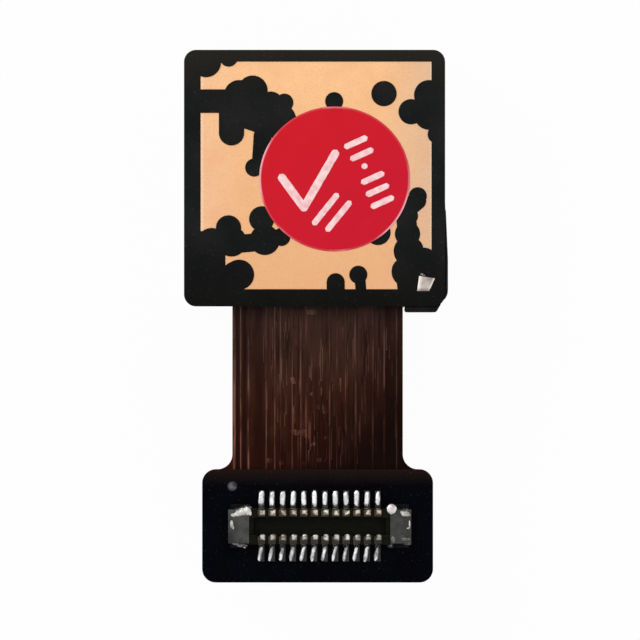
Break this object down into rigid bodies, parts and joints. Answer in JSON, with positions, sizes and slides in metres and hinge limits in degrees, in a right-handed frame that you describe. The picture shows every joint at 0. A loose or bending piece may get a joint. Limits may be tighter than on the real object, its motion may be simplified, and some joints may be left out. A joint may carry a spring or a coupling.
{
  "type": "camera module",
  "caption": "Autofocus camera module with a square head, a flat flexible tail and a board-to-board plug at its end.",
  "frame": {"origin": "optical axis at the front face of the shield can, on which the module lies", "axes": "+Z backwards along the optical axis, away from the subject; -Y along the flexible tail towards the plug; +X to the right seen from the back"},
  "size_m": [0.0087, 0.0177, 0.0058],
  "materials": {
    "can_steel": "satin nickel-plated steel",
    "black_plastic": "matt moulded liquid-crystal polymer",
    "base_plastic": "matt moulded liquid-crystal polymer",
    "spring_bronze": "etched copper alloy sheet",
    "magnet_nickel": "nickel-plated magnet",
    "coil_copper": "enamelled copper wire",
    "barrel_black": "fine matt black",
    "lens_clear": "coated clear lens",
    "ring_film": "matt black film",
    "tinned_metal": "tinned strip",
    "black_glue": "glossy cured bead",
    "filter_glass": "coated blue glass",
    "sensor_silicon": "dark polished silicon",
    "capacitor_ceramic": "fired ceramic with tinned ends",
    "chip_black": "bare silicon package",
    "board_laminate": "black glass-epoxy laminate",
    "polyimide_film": "dark amber film over copper traces",
    "gold_plating": "satin immersion gold",
    "solder_mask_black": "satin black solder mask",
    "pad_tin": "tinned gold pad",
    "sticker_red": "glossy printed film",
    "connector_board_black": "satin black solder mask",
    "stiffener_steel": "rolled stainless sheet",
    "dot_print": "grey plated dot",
    "connector_lcp": "matt black moulding",
    "contact_metal": "gold-flashed and tinned strip",
    "clip_metal": "tinned sheet with solder"
  },
  "bodies": {
    "housing": {"shield_can": "can_steel", "front_spacer": "black_plastic", "front_leaf_spring": "spring_bronze", "corner_magnet_1": "magnet_nickel", "corner_magnet_2": "magnet_nickel", "corner_magnet_3": "magnet_nickel", "corner_magnet_4": "magnet_nickel", "rear_leaf_spring_left": "spring_bronze", "rear_leaf_spring_right": "spring_bronze", "actuator_base": "base_plastic", "terminal_1": "tinned_metal", "terminal_2": "tinned_metal", "terminal_glue": "black_glue", "sensor_holder": "black_plastic", "infrared_filter": "filter_glass", "image_sensor": "sensor_silicon", "chip_capacitor_1": "capacitor_ceramic", "chip_capacitor_2": "capacitor_ceramic", "chip_capacitor_3": "capacitor_ceramic", "chip_capacitor_4": "capacitor_ceramic", "driver_chip": "chip_black", "memory_chip": "chip_black", "head_board_front": "board_laminate", "flex_circuit": "polyimide_film", "head_board_rear": "board_laminate", "ground_plane": "gold_plating", "solder_mask": "solder_mask_black", "corner_pad": "pad_tin", "inspection_sticker": "sticker_red", "connector_board": "connector_board_black", "connector_stiffener": "stiffener_steel", "pin_one_dot": "dot_print", "connector_pads": "pad_tin", "connector_housing": "connector_lcp", "contact_row_upper": "contact_metal", "contact_row_lower": "contact_metal", "hold_down_left": "clip_metal", "hold_down_right": "clip_metal"},
    "lens_body": {"focus_coil": "coil_copper", "lens_carrier": "black_plastic", "lens_barrel": "barrel_black", "lens_element_1": "lens_clear", "lens_element_2": "lens_clear", "lens_element_3": "lens_clear", "lens_element_4": "lens_clear", "lens_element_5": "lens_clear", "lens_ring_1": "ring_film", "lens_ring_2": "ring_film", "lens_ring_3": "ring_film", "lens_ring_4": "ring_film", "lens_retainer": "barrel_black"}
  },
  "joints": [
    {"name": "focus_slide", "type": "slide", "parent": "housing", "child": "lens_body", "axis": [0, 0, -1], "range_m": [0, 0.0003], "stiffness_N_per_m": 60, "springref_m": -0.00005, "deforming": ["front_leaf_spring", "rear_leaf_spring_left", "rear_leaf_spring_right"]}
  ]
}
